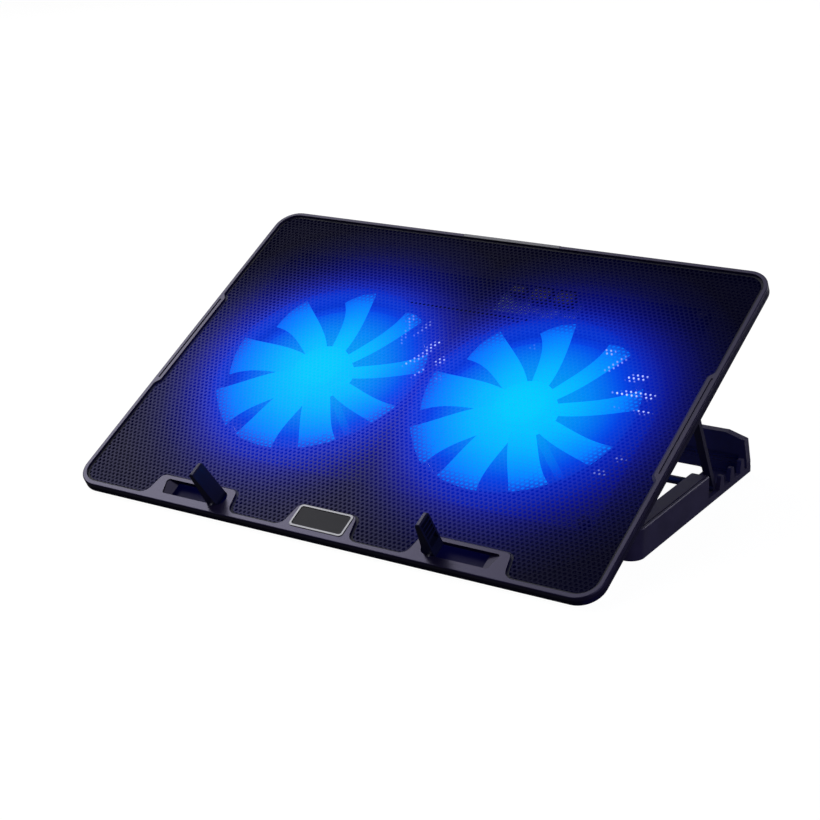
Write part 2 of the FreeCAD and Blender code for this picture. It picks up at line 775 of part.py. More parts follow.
def fan_leads():
    """Two short leads on the chamber floor, each fan's seat to the control board."""
    tubes = []
    end_y = chamber_back - wall - 0.6 - board_depth
    floor = -chamber_depth + floor_thickness
    ring_reach = blade_radius + tip_clearance + fan_ring_wall
    height = floor + lead_radius + 0.2
    for side in (-1, 1):
        fan_x = side * fan_spacing / 2
        start = (fan_x, fan_middle_y + ring_reach + 0.5, height)
        ends = board_middle_x - 8 + side * 3
        points = [start, (fan_x - side * 2, start[1] + 4, height), (fan_x - side * 14, start[1] + 6, height),
                  ((fan_x + ends) / 2, start[1] + 5, height), (ends - side * -6, start[1] + 5, height),
                  (ends, end_y - 3, height), (ends, end_y + 3, height)]
        tubes.append(lead(points))
    return tubes


def stop_lever(side):
    """Raised stop: drum round its pin, wedge-shaped lever, hollow and ribbed underneath."""
    x = side * stop_pivot_x
    y0 = stop_middle_y - stop_width / 2
    pivot = vec(x, stop_middle_y, -stop_pivot_depth)
    drum = cylinder((0, stop_middle_y, 0), (0, 1, 0), stop_drum_radius, stop_width)
    half_tip = stop_tip_thickness / 2
    root = stop_drum_radius * 0.96
    wedge = Part.makePolygon([vec(1, y0, root), vec(stop_length, y0, half_tip), vec(stop_length, y0, -half_tip),
                              vec(1, y0, -root), vec(1, y0, root)])
    arm = Part.Face(wedge).extrude(vec(0, stop_width, 0))
    tip_edges = [e for e in arm.Edges if e.BoundBox.XMin > stop_length - 1e-6]
    arm = arm.makeFillet(1.1, tip_edges)
    hollow_start = stop_drum_radius + 2
    hollow = box(hollow_start, stop_length - stop_shell, y0 + stop_shell, y0 + stop_width - stop_shell,
                 -stop_drum_radius, 0)
    rib_pitch = 3.2
    ribs = []
    for i in range(4):
        start = stop_length - stop_shell - rib_pitch * (i + 1)
        ribs.append(box(start, start + 1.0, y0, y0 + stop_width, -stop_drum_radius, 1))
    arm = arm.cut(hollow.cut(fused(ribs)))
    lever = fused([drum, arm])
    if side < 0:
        lever = lever.mirror(vec(0, 0, 0), vec(1, 0, 0))
    lever.translate(vec(x, 0, -stop_pivot_depth))
    raised = stop_raised_left if side < 0 else stop_raised_right
    lever.rotate(pivot, vec(0, -side, 0), raised)
    return lever.cut(cylinder(tuple(pivot), (0, 1, 0), stop_pin_radius + running_clearance, 30))


def stop_pins():
    pins = []
    for side in (-1, 1):
        centre = (side * stop_pivot_x, stop_middle_y, -stop_pivot_depth)
        pins.append(cylinder(centre, (0, 1, 0), stop_pin_radius, bay_back - bay_front + 2 * stop_pin_seat))
    return pins


def prop_pins():
    lugs = prop_lugs()
    start = lugs[0][0] + 0.5
    end = lugs[1][1]
    pin = cylinder(((start + end) / 2, prop_pivot_y, -pivot_depth), (1, 0, 0), prop_pin_radius, end - start)
    return both_sides(pin)


def prop_frame():
    """Two legs and a foot bar, drawn lying back along the panel, then swung down."""
    pivot = vec(0, prop_pivot_y, -pivot_depth)
    foot_y = prop_pivot_y + prop_length
    inner_x = prop_outer_x - prop_leg_width
    middle_x = prop_outer_x - prop_leg_width / 2
    half = prop_leg_thickness / 2
    leg = box(inner_x, prop_outer_x, prop_pivot_y, foot_y, -pivot_depth - half, -pivot_depth + half)
    eye = cylinder((middle_x, prop_pivot_y, -pivot_depth), (1, 0, 0), eye_radius, prop_leg_width)
    heel = cylinder((middle_x, foot_y, -pivot_depth), (1, 0, 0), prop_foot_radius, prop_leg_width)
    foot = cylinder((0, foot_y, -pivot_depth), (1, 0, 0), prop_foot_radius, 2 * prop_outer_x)
    body = fused(both_sides(leg) + both_sides(eye) + both_sides(heel) + [foot])
    grooves = both_sides(cylinder((inner_x - 2 - sleeve_length / 2, foot_y, -pivot_depth), (1, 0, 0),
                                  prop_foot_radius + 1, sleeve_length))
    core = cylinder((0, foot_y, -pivot_depth), (1, 0, 0), prop_foot_radius - sleeve_wall, 2 * prop_outer_x)
    for groove in grooves:
        body = body.cut(groove.cut(core))
    body = body.cut(cylinder((0, prop_pivot_y, -pivot_depth), (1, 0, 0),
                             prop_pin_radius + running_clearance, 2 * prop_outer_x + 10))
    body.rotate(pivot, vec(1, 0, 0), prop_lean)
    return body


def prop_sleeves():
    """Rubber sleeves in the foot bar's two grooves."""
    pivot = vec(0, prop_pivot_y, -pivot_depth)
    foot_y = prop_pivot_y + prop_length
    inner_x = prop_outer_x - prop_leg_width
    middle = inner_x - 2 - sleeve_length / 2
    sleeve = cylinder((middle, foot_y, -pivot_depth), (1, 0, 0), prop_foot_radius, sleeve_length - 0.1)
    sleeve = sleeve.cut(cylinder((middle, foot_y, -pivot_depth), (1, 0, 0), prop_foot_radius - sleeve_wall, 40))
    pair = both_sides(sleeve)
    for piece in pair:
        piece.rotate(pivot, vec(1, 0, 0), prop_lean)
    return pair


def hinge_point():
    """Hinge axis on the table's frame, before the origin moves."""
    point = panel_point(0, hinge_y, -pivot_depth)
    return point.y + origin_y, point.z


def side_rail():
    """Right-hand rail: box arm, low floor, toothed outer wall, and the hinge ear."""
    outer = base_half_width
    inner = outer - arm_width
    bottom = foot_pad_height
    arm = outline([(inner, arm_front, 3), (outer, arm_front, arm_end_radius), (outer, arm_back, 1.5),
                   (inner, arm_back, 1.5)])
    arm = plate(arm, bottom, arm_height)
    top_edges = [e for e in arm.Edges if e.BoundBox.ZMin > arm_height - 1e-6]
    arm = arm.makeFillet(1.0, top_edges)
    groove = box(outer - arm_groove_inset - arm_groove_width, outer - arm_groove_inset,
                 arm_front + arm_end_radius, arm_back + 1, arm_height - arm_groove_depth, arm_height + 1)
    arm = arm.cut(groove)
    floor_inner = outer - rail_floor_width
    wall_front = base_back - rear_wall_thickness
    floor = box(floor_inner, outer, arm_back - 4, base_back, bottom, bottom + rail_floor)
    corner = box(floor_inner - opening_radius, floor_inner + 1, wall_front - opening_radius, wall_front + 1,
                 bottom, bottom + rail_floor)
    corner = corner.cut(cylinder((floor_inner - opening_radius, wall_front - opening_radius, bottom), (0, 0, 1),
                                 opening_radius, 4 * rail_floor))
    comb = box(outer - comb_wall, outer, arm_back - 1, base_back, bottom, comb_sill)
    parts = [arm, floor, corner, comb]
    for i in range(tooth_count):
        y = tooth_first + i * tooth_pitch
        root = 2.2 * tooth_radius
        tooth = outline([(y - root, bottom + 0.1, 0.4), (y + root, bottom + 0.1, 0.4),
                         (y + tooth_radius, tooth_height, tooth_radius * 0.8),
                         (y - tooth_radius, tooth_height, tooth_radius * 0.8)])
        tooth = Part.Face(tooth).extrude(vec(0, 0, comb_wall))
        tooth.rotate(vec(0, 0, 0), vec(1, 1, 1), 120)
        tooth.translate(vec(outer - comb_wall, 0, 0))
        parts.append(tooth)
    hinge_line, hinge_height = hinge_point()
    middle = hinge_ear_middle()
    ear = cylinder((middle, hinge_line, hinge_height), (1, 0, 0), knuckle_radius, hinge_ear_width)
    web = box(middle - hinge_ear_width / 2, middle + hinge_ear_width / 2, hinge_line - knuckle_radius,
              hinge_line + knuckle_radius, arm_height - 2, hinge_height)
    return parts + [ear, web]


def rear_wall():
    """Upright back beam with sloped shoulders and a ribbed front face."""
    half = base_half_width - 0.2
    top = rear_wall_height
    shoulder = top - rear_corner_drop
    bottom = foot_pad_height
    profile = [vec(-half, 0, bottom), vec(half, 0, bottom), vec(half, 0, 8), vec(half - 2, 0, shoulder),
               vec(half - rear_corner_run, 0, top), vec(-half + rear_corner_run, 0, top),
               vec(-half + 2, 0, shoulder), vec(-half, 0, 8), vec(-half, 0, bottom)]
    beam = Part.Face(Part.makePolygon(profile)).extrude(vec(0, rear_wall_thickness, 0))
    beam.translate(vec(0, base_back - rear_wall_thickness, 0))
    front = base_back - rear_wall_thickness
    beam = beam.cut(box(-half + 6, half - 6, front - 1, front + 2.4, 9.0, 13.0))
    ledge = box(-half + 4, half - 4, front - 1.6, front + 1, bottom, 7.5)
    beam = fused([beam, ledge])
    return beam


def base_frame():
    inner = base_half_width - arm_width
    crossbar = box(-inner - 1, inner + 1, arm_front + 4, arm_front + 4 + crossbar_depth, foot_pad_height,
                   crossbar_height)
    rail = fused(side_rail())
    body = fused([rail, mirrored(rail), crossbar, rear_wall()])
    hinge_line, hinge_height = hinge_point()
    for side in (-1, 1):
        body = body.cut(cylinder((side * hinge_ear_middle(), hinge_line, hinge_height), (1, 0, 0),
                                 hinge_pin_radius, 12))
    for pad in pad_boxes(0.1):
        body = body.cut(pad)
    return body


def pad_boxes(margin):
    """Four rubber pads: under the arms' front ends and under the rear wall's ends."""
    x_middle = base_half_width - arm_width / 2
    front_y = arm_front + 14
    rear_y = base_back - rear_wall_thickness / 2
    top = foot_pad_height + foot_pad_thickness
    pads = []
    for x, y, dx, dy in ((x_middle, front_y, 4, 7), (x_middle - 8, rear_y, 9, 2)):
        pad = box(x - dx - margin, x + dx + margin, y - dy - margin, y + dy + margin, 0, top)
        pads += both_sides(pad)
    return pads


def hinge_pins():
    hinge_line, hinge_height = hinge_point()
    lugs = hinge_lugs()
    start = lugs[0][0]
    end = lugs[1][1]
    pin = cylinder(((start + end) / 2, hinge_line, hinge_height), (1, 0, 0), hinge_pin_radius, end - start)
    return both_sides(pin)


def save(name, shape):
    if isinstance(shape, list):
        shape = Part.makeCompound(shape)
    for solid in shape.Solids:
        if not solid.isValid() or solid.Volume <= 0:
            raise ValueError("bad solid in " + name)
    shape.exportStep("parts/" + name + ".step")


def main():
    os.makedirs("parts", exist_ok=True)
    panel_nodes = {
        "top_frame": top_frame(), "mesh_screen": mesh_screen(), "bottom_cover": bottom_cover(),
        "badge_bezel": badge_bezel(), "badge_plate": badge_plate(), "rear_trim": rear_trim(),
        "stop_left": stop_lever(-1), "stop_right": stop_lever(1), "stop_pins": stop_pins(),
        "cover_screws": cover_screws(), "control_board": control_board(),
        "usb_sockets": [usb_socket(x) for x in usb_middles()], "switch_body": switch_body(),
        "switch_slider": switch_slider(), "fan_leads": fan_leads(), "prop_pins": prop_pins(),
        "prop_frame": prop_frame(), "prop_sleeves": prop_sleeves(),
    }
    makers = {"fan_frame": fan_frame, "fan_rotor": fan_rotor, "rotor_magnet": rotor_magnet,
              "fan_shaft": fan_shaft, "fan_bearing": fan_bearing, "stator": stator,
              "motor_board": motor_board, "leds": leds, "fan_screws": fan_screws, "dust_filter": dust_filter}
    for side, (x, y) in fan_centres().items():
        for name, make in makers.items():
            panel_nodes[name + "_" + side] = make(x, y)
    for name, shape in panel_nodes.items():
        if isinstance(shape, list):
            shape = Part.makeCompound(shape)
        save(name, place_on_panel(shape))
    table_nodes = {"base_frame": base_frame(), "base_pads": pad_boxes(0.0), "hinge_pins": hinge_pins()}
    for name, shape in table_nodes.items():
        if isinstance(shape, list):
            shape = Part.makeCompound(shape)
        save(name, place_on_table(shape))


main()
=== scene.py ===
import json
import math

import bpy
from mathutils import Matrix, Vector


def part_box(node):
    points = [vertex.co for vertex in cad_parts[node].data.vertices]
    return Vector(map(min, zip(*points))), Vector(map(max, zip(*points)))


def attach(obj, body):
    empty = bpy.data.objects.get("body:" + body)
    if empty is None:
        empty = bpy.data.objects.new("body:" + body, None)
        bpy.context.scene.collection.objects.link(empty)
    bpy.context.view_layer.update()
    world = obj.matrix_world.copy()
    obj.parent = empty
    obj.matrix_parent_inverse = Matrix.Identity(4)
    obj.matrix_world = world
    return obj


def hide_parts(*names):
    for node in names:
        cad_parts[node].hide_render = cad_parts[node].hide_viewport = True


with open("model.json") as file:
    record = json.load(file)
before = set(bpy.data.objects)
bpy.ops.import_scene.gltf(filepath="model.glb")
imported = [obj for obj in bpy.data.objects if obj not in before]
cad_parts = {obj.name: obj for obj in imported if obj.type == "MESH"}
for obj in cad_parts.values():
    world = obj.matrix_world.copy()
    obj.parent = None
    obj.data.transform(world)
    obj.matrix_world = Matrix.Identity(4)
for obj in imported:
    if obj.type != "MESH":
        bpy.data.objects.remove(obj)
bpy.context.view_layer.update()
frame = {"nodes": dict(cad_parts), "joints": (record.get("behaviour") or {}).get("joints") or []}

MM = 0.001
JOINTS = {joint["name"]: joint for joint in frame["joints"]}

# ---- the panel's own frame: X along the hinge, Y up the panel, Z out of its top face ----
PANEL_NORMAL = Vector(JOINTS["fan_left_spin"]["axis"])
PANEL_UP = Vector((0, PANEL_NORMAL.z, -PANEL_NORMAL.y))
TILT = math.atan2(PANEL_UP.z, PANEL_UP.y)
FAN_MIDDLE = 137 * MM          # fan axes to the panel's front edge
FAN_JOINT_DEPTH = 10 * MM      # the spin joints' point below the top face
FAN_X = JOINTS["fan_right_spin"]["pos_m"][0]
PANEL_ORIGIN = (Vector(JOINTS["fan_right_spin"]["pos_m"]) - Vector((FAN_X, 0, 0))
                - FAN_MIDDLE * PANEL_UP + FAN_JOINT_DEPTH * PANEL_NORMAL)
PANEL = Matrix.Translation(PANEL_ORIGIN) @ Matrix.Rotation(TILT, 4, "X")

# ---- panel and chamber, in millimetres in the panel's frame ----
PANEL_HALF_WIDTH = 190.0
PANEL_DEPTH = 275.0
CHAMBER_HALF_WIDTH = 165.0
CHAMBER_FRONT = 48.0
CHAMBER_BACK = 243.0
LIGHT_SHIFT_BELOW = (-3.0, 5.0)     # where the lamps' light falls, off the fan's axis
LIGHT_SHIFT_SCREEN = (3.0, -3.0)

# ---- mesh screen ----
HOLE_PITCH = 3.25 * MM
ROW_PITCH = HOLE_PITCH * math.sqrt(3) / 2
HOLE_RADIUS = 1.17 * MM
SCREEN_TOP = -1.5 * MM
SCREEN_THICKNESS = 0.7 * MM
SCREEN_TUCK = 1.0 * MM         # hidden edge under the frame's lip
BORDER_WIDTH = 1.7 * MM        # plain edge that shows inside the frame
SCREEN_STRIPS = 5

# ---- fans ----
BLADE_RADIUS = 73.5 * MM
BLADE_COUNT = 9
BLADE_PHASE = 11.5             # degrees
BLADE_PITCH = 21.0             # degrees
BLADE_THICKNESS = 1.3 * MM
HUB_RADIUS = 20.0 * MM
HUB_TOP = -4.5 * MM
HUB_BOTTOM = -15.2 * MM
BLADE_LEVEL = -9.9 * MM


# ------------------------------------------------------------------ shader maths

class Wire:
    """A shader socket, so that sums and products of sockets read as plain expressions."""

    def __init__(self, finish, socket):
        self.finish = finish
        self.socket = socket

    def maths(self, operation, first, second=0.0):
        return self.finish.node("ShaderNodeMath", {"operation": operation}, {0: first, 1: second})

    def __add__(self, other):
        return self.maths("ADD", self, other)

    def __sub__(self, other):
        return self.maths("SUBTRACT", self, other)

    def __mul__(self, other):
        return self.maths("MULTIPLY", self, other)

    def __truediv__(self, other):
        return self.maths("DIVIDE", self, other)

    def __radd__(self, other):
        return self.maths("ADD", other, self)

    def __rsub__(self, other):
        return self.maths("SUBTRACT", other, self)

    def __rmul__(self, other):
        return self.maths("MULTIPLY", other, self)

    def wrapped(self, period):
        """Place within one repeat, from 0 to the period."""
        return self.maths("FLOORED_MODULO", self, period)

    def floored(self):
        return self.maths("FLOOR", self)

    def least(self, other):
        return self.maths("MINIMUM", self, other)

    def most(self, other):
        return self.maths("MAXIMUM", self, other)

    def root(self):
        return self.maths("SQRT", self)

    def step(self, low, high, start=0.0, end=1.0):
        """Smooth change from start to end as the value goes from low to high."""
        return self.finish.node("ShaderNodeMapRange", {"interpolation_type": "SMOOTHSTEP"},
                                {"Value": self, "From Min": low, "From Max": high,
                                 "To Min": start, "To Max": end}, "Result")


class Finish:
    """One node material. node() makes every node; the rest are short names for common ones."""

    def __init__(self, name, **constants):
        self.material = bpy.data.materials.new(name)
        self.material.use_nodes = True
        self.tree = self.material.node_tree
        self.shader = self.tree.nodes["Principled BSDF"]
        for socket, value in constants.items():
            self.shader.inputs[socket.replace("_", " ")].default_value = value

    def node(self, kind, settings=None, inputs=None, output=0):
        made = self.tree.nodes.new(kind)
        for name, value in (settings or {}).items():
            if name == "stops":
                ramp = made.color_ramp.elements
                while len(ramp) < len(value):
                    ramp.new(0.5)
                for element, (place, colour) in zip(ramp, value):
                    element.position = place
                    element.color = (*colour, 1)
            else:
                setattr(made, name, value)
        for name, value in (inputs or {}).items():
            self.feed(made.inputs[name], value)
        return Wire(self, made.outputs[output])

    def feed(self, socket, value):
        if isinstance(value, Wire):
            self.tree.links.new(value.socket, socket)
        elif isinstance(value, (tuple, Vector)) and socket.type == "RGBA":
            socket.default_value = (*value, 1)
        else:
            socket.default_value = value

    def put(self, **values):
        """Feed the surface shader's sockets, by name."""
        for name, value in values.items():
            self.feed(self.shader.inputs[name.replace("_", " ")], value)
        return self

    def place(self):
        return self.node("ShaderNodeTexCoord", {}, {}, "Object")

    def place_on_panel(self):
        """Position in the panel's own frame, in millimetres."""
        turned = PANEL.inverted()
        return self.node("ShaderNodeMapping", {}, {
            "Vector": self.place(), "Location": turned.translation / MM,
            "Rotation": (-TILT, 0, 0), "Scale": (1 / MM, 1 / MM, 1 / MM)})

    def parts(self, vector):
        split = self.node("ShaderNodeSeparateXYZ", {}, {0: vector})
        outputs = split.socket.node.outputs
        return [Wire(self, outputs[i]) for i in range(3)]

    def noise(self, size, detail=3.0, stretch=(1, 1, 1), rough=0.5):
        """Noise with grains of the given size in metres, from 0 to 1."""
        scaled = self.node("ShaderNodeMapping", {}, {"Vector": self.place(), "Scale": stretch})
        return self.node("ShaderNodeTexNoise", {}, {
            "Vector": scaled, "Scale": 1 / size, "Detail": detail, "Roughness": rough}, "Fac")

    def blend(self, share, first, second):
        return self.node("ShaderNodeMix", {"data_type": "RGBA"}, {0: share, 6: first, 7: second}, 2)

    def tint(self, colour, share):
        """A colour times a number, added to nothing."""
        return self.blend(share, (0.0, 0.0, 0.0), colour)

    def total(self, first, second):
        return self.node("ShaderNodeMix", {"data_type": "RGBA", "blend_type": "ADD"},
                         {0: 1.0, 6: first, 7: second}, 2)

    def bump(self, height, distance, strength=1.0):
        return self.put(Normal=self.node("ShaderNodeBump", {}, {
            "Height": height, "Distance": distance, "Strength": strength}, "Normal"))


def display(red, green, blue):
    """Linear colour of a display colour given from 0 to 255."""
    return tuple((c / 255 / 12.92) if c <= 10 else ((c / 255 + 0.055) / 1.055) ** 2.4
                 for c in (red, green, blue))


# ------------------------------------------------------------------ light of the fans, painted on as emission

HALO_REACH = 140.0             # millimetres from a fan's axis
# Each stop: distance from the fan's axis, display colour there
BACK_GLOW = [(0, (0, 158, 244)), (28, (1, 150, 242)), (40, (2, 132, 244)), (58, (3, 82, 234)),
             (64, (4, 62, 222)), (76, (4, 34, 186)), (88, (4, 15, 140)), (100, (3, 7, 94)),
             (112, (1, 3, 56)), (124, (0, 1, 32)), (140, (0, 0, 12))]
BLADE_GLOW = [(0, (1, 205, 254)), (12, (1, 203, 254)), (34, (3, 182, 251)), (58, (4, 138, 247)),
              (74, (7, 98, 231))]
STRAND_GLOW = [(0, (2, 175, 250)), (40, (3, 138, 244)), (58, (3, 92, 234)), (64, (3, 70, 222)),
               (76, (4, 39, 188)), (88, (4, 19, 140)), (100, (4, 9, 98)), (112, (2, 4, 64)),
               (124, (1, 2, 40)), (140, (0, 0, 16))]
FAR_FAN_SHARE = 0.2            # of the other fan's light


def light_ramp(stops):
    return [(place / HALO_REACH, display(*colour)) for place, colour in stops]


def fan_distances(finish, x, y, shift=(0.0, 0.0)):
    """Distances to the two fans' axes in millimetres, nearer first."""
    found = []
    for side in (-1, 1):
        dx = x - (side * FAN_X / MM + shift[0])
        dy = y - (FAN_MIDDLE / MM + shift[1])
        found.append((dx * dx + dy * dy).root())
    return found[0].least(found[1]), found[0].most(found[1])


def halo(finish, stops, near, far):
    """Colour of the fans' light at those distances: all of the nearer fan's, some of the other's."""
    def ramp(distance):
        return finish.node("ShaderNodeValToRGB", {"stops": light_ramp(stops)},
                           {"Fac": distance / HALO_REACH}, "Color")
    return finish.total(ramp(near), finish.tint(ramp(far), FAR_FAN_SHARE))


# ------------------------------------------------------------------ finishes

VIOLET_SHEEN = (0.70, 0.65, 1.0, 1.0)
CLOUD_SIZE = 18 * MM


def grained(name, colour, grain, depth, **constants):
    """Plastic with a violet sheen, fine grain and faint cloudiness; its gloss is set by the caller."""
    finish = Finish(name, Specular_Tint=VIOLET_SHEEN, **constants)
    cloud = finish.noise(CLOUD_SIZE, 4)
    fine = finish.noise(grain, 2)
    darker = tuple(0.78 * c for c in colour)
    finish.put(Base_Color=finish.blend(cloud.step(0.3, 0.7), darker, colour))
    finish.bump(fine, depth, 0.5)
    return finish, cloud, fine


def moulded(name, colour, rough, grain=0.35 * MM, depth=0.02 * MM, **constants):
    finish, cloud, fine = grained(name, colour, grain, depth, **constants)
    return finish.put(Roughness=rough - 0.05 + 0.1 * cloud + 0.05 * fine)


def gloss_frame():
    """Glossy frame, a little duller toward the right and the rear."""
    finish, cloud, fine = grained("gloss_frame", (0.016, 0.012, 0.05), 0.6 * MM, 0.008 * MM)
    x, y, height = finish.parts(finish.place_on_panel())
    duller = x.step(-60.0, 150.0) * 0.1 + y.step(60.0, 240.0) * 0.08
    return finish.put(Roughness=0.19 + duller + 0.05 * cloud)


def shell():
    return moulded("shell", (0.026, 0.021, 0.07), 0.46)


def within(value, low, high, start=0.6, end=1.7):
    """1 between two walls, 0 outside them, with the change inside the walls' thickness."""
    return value.step(low + start, low + end) * value.step(high - start, high - end)


def lower_cover():
    """The shell's plastic, with the fans' light on its inside faces."""
    finish = moulded("lower_cover", (0.010, 0.008, 0.034), 0.5, Specular_IOR_Level=0.15)
    x, y, height = finish.parts(finish.place_on_panel())
    near, far = fan_distances(finish, x, y, LIGHT_SHIFT_BELOW)
    chamber = (height.step(-19.0, -18.6) * height.step(-5.6, -6.2)
               * within(x, -CHAMBER_HALF_WIDTH, CHAMBER_HALF_WIDTH)
               * within(y, CHAMBER_FRONT, CHAMBER_BACK))
    tray = (height.step(-6.2, -5.9) * height.step(-3.0, -3.4)
            * within(x, -PANEL_HALF_WIDTH, PANEL_HALF_WIDTH, 1.5, 2.4)
            * within(y, 0.0, PANEL_DEPTH, 1.5, 2.4))
    light = halo(finish, BACK_GLOW, near, far)
    return finish.put(Emission_Color=finish.tint(light, chamber.most(tray)), Emission_Strength=1.0)


def punched_screen():
    """Dark satin strands with a painted blue glow from the fans and painted glints where the lamps catch
    them.

    The base colour is darker toward the right and the rear: painted light and shade, the studio light
    falling off across the screen, with a random mottle on top; near a fan the strands are nearly clear.
    """
    finish = Finish("punched_screen", Specular_IOR_Level=0.02)
    x, y, height = finish.parts(finish.place_on_panel())
    near, far = fan_distances(finish, x, y, LIGHT_SHIFT_SCREEN)
    cloud = finish.noise(25 * MM, 3)
    fine = finish.noise(0.25 * MM, 2)
    # Painted light and shade: the strands' colour falls off toward the right and the rear, times a random
    # mottle.
    bright = (x.step(-60.0, PANEL_HALF_WIDTH, 1.0, 0.08) * y.step(110.0, 235.0, 1.0, 0.12)
              * (0.85 + 0.3 * cloud))
    finish.put(Base_Color=finish.blend(bright, (0.002, 0.002, 0.008), (0.098, 0.094, 0.16)))
    finish.put(Roughness=0.42 + 0.12 * fine)
    # Painted light: the fans' blue glow, put into the strands as emission.
    light = halo(finish, STRAND_GLOW, near, far)
    # Painted glints: white emission spots where the lamps would catch the strands.
    glints = glint_mask(finish, x, y)
    white = finish.tint((0.62, 0.72, 1.0), glints)
    finish.put(Emission_Color=finish.total(light, white), Emission_Strength=1.0)
    finish.put(Alpha=near.step(60.0, 84.0, 0.10, 1.0).most(glints))
    finish.bump(fine, 0.02 * MM, 0.4)
    return finish


# Streaks of painted glints: middle x, y, half length, half width, direction in degrees, strength
GLINTS = [(113.5, 51, 4.5, 3.5, 0, 0.7), (122, 42, 10, 3.0, 60, 0.6), (140, 33.5, 8, 3.4, 15, 1.0),
          (142, 20, 13, 2.6, 8, 1.0), (154.5, 20, 4, 3.6, 0, 1.0), (155.5, 6.5, 7, 1.6, 0, 1.0),
          (158, -32, 4.5, 2.6, 0, 0.3), (150.5, -45, 5, 2.4, 0, 0.3), (137, 6.5, 4, 1.6, 0, 0.25),
          (62, 45, 3.5, 3, 0, 0.2), (6, 20, 3.6, 4.4, 0, 0.8), (12, 5, 3, 3, 30, 0.2),
          (-6, 32, 7, 2.6, 60, 1.0), (-11, 20, 12, 2.4, 55, 0.7), (-3.5, 7, 6, 2.0, 60, 0.6),
          (-21, 45, 10, 2.2, 70, 0.45), (-34.5, 52, 4.5, 3, 80, 0.5), (-31, 38, 12, 2.2, 100, 0.35)]


def glint_mask(finish, x, y):
    """Painted glints: small spots, one beside each hole, inside the streaks."""
    across = x / (HOLE_PITCH / MM)
    along = (y - FAN_MIDDLE / MM - 0.577 * HOLE_PITCH / MM) / (ROW_PITCH / MM)
    row = (along + 0.5).floored()
    dx = (across + 0.5 * row.wrapped(2.0) + 0.5).wrapped(1.0) - 0.5
    dy = along - row
    off = ((dx * dx) * (HOLE_PITCH / MM) ** 2 + (dy * dy) * (ROW_PITCH / MM) ** 2).root()
    spot = off.step(0.85, 0.35)
    cover = None
    for middle_x, middle_y, half_length, half_width, turn, strength in GLINTS:
        c, s = math.cos(math.radians(turn)), math.sin(math.radians(turn))
        gx = x - middle_x
        gy = y - (FAN_MIDDLE / MM + middle_y)
        u = (gx * c + gy * s) / half_length
        v = (gy * c - gx * s) / half_width
        patch = (u * u + v * v).step(1.25, 0.5) * strength
        cover = patch if cover is None else cover.most(patch)
    return spot * cover


def border():
    finish = Finish("screen_border", Specular_IOR_Level=0.3)
    x, y, height = finish.parts(finish.place_on_panel())
    near, far = fan_distances(finish, x, y, LIGHT_SHIFT_SCREEN)
    fine = finish.noise(0.25 * MM, 2)
    finish.put(Base_Color=finish.blend(fine, (0.006, 0.006, 0.012), (0.01, 0.01, 0.018)))
    finish.put(Roughness=0.5 + 0.1 * fine)
    light = halo(finish, BACK_GLOW, near, far)
    finish.put(Emission_Color=finish.tint(light, 0.6 + 0.2 * fine), Emission_Strength=1.0)
    finish.bump(fine, 0.02 * MM, 0.4)
    return finish


def lit_plastic(name, stops, base, shift=(0.0, 0.0), gain=1.0):
    """Clear blue plastic lit from inside, brightest at the fan's axis."""
    finish = Finish(name, Specular_IOR_Level=0.0, Emission_Strength=gain)
    x, y, height = finish.parts(finish.place_on_panel())
    near, far = fan_distances(finish, x, y, shift)
    cloud = finish.noise(6 * MM, 3)
    fine = finish.noise(0.5 * MM, 2)
    finish.put(Base_Color=finish.blend(cloud, base, tuple(0.7 * c for c in base)))
    finish.put(Roughness=0.35 + 0.1 * fine)
    light = halo(finish, stops, near, far)
    finish.put(Emission_Color=finish.blend(0.05 * cloud, light, (0.0, 0.0, 0.0)))
    finish.bump(fine, 0.01 * MM, 0.3)
    return finish


def metal(name, colour, rough, stretch=(1, 1, 1), grain=0.4 * MM, **constants):
    finish = Finish(name, Metallic=1.0, **constants)
    streak = finish.noise(grain, 3, stretch)
    cloud = finish.noise(10 * MM, 2)
    darker = tuple(0.7 * c for c in colour)
    finish.put(Base_Color=finish.blend(0.6 * streak + 0.4 * cloud, darker, colour))
    finish.put(Roughness=rough - 0.06 + 0.14 * streak)
    finish.bump(streak, 0.01 * MM, 0.5)
    return finish


def lit_inside(finish):
    """Add the fans' light on the part of a piece that is inside the chamber."""
    x, y, height = finish.parts(finish.place_on_panel())
    near, far = fan_distances(finish, x, y, LIGHT_SHIFT_BELOW)
    inside = y.step(CHAMBER_BACK - 0.6, CHAMBER_BACK - 1.7) * 0.85
    return finish.put(Emission_Color=finish.tint(halo(finish, BACK_GLOW, near, far), inside),
                      Emission_Strength=1.0)


def rubber():
    return moulded("rubber", (0.016, 0.016, 0.018), 0.78, 0.5 * MM, 0.04 * MM)


def circuit_board():
    """Green solder mask with a faint pattern of tracks."""
    finish = Finish("circuit_board", Coat_Weight=0.3, Coat_Roughness=0.25)
    cells = finish.node("ShaderNodeTexVoronoi", {"distance": "MANHATTAN"},
                        {"Vector": finish.place(), "Scale": 1 / (2.2 * MM)}, "Distance")
    finish.put(Base_Color=finish.blend(cells.step(0.30, 0.36), (0.012, 0.06, 0.03), (0.02, 0.13, 0.06)))
    finish.put(Roughness=0.35 + 0.1 * finish.noise(1 * MM))
    return finish.bump(cells.step(0.30, 0.36), 0.03 * MM, 0.5)


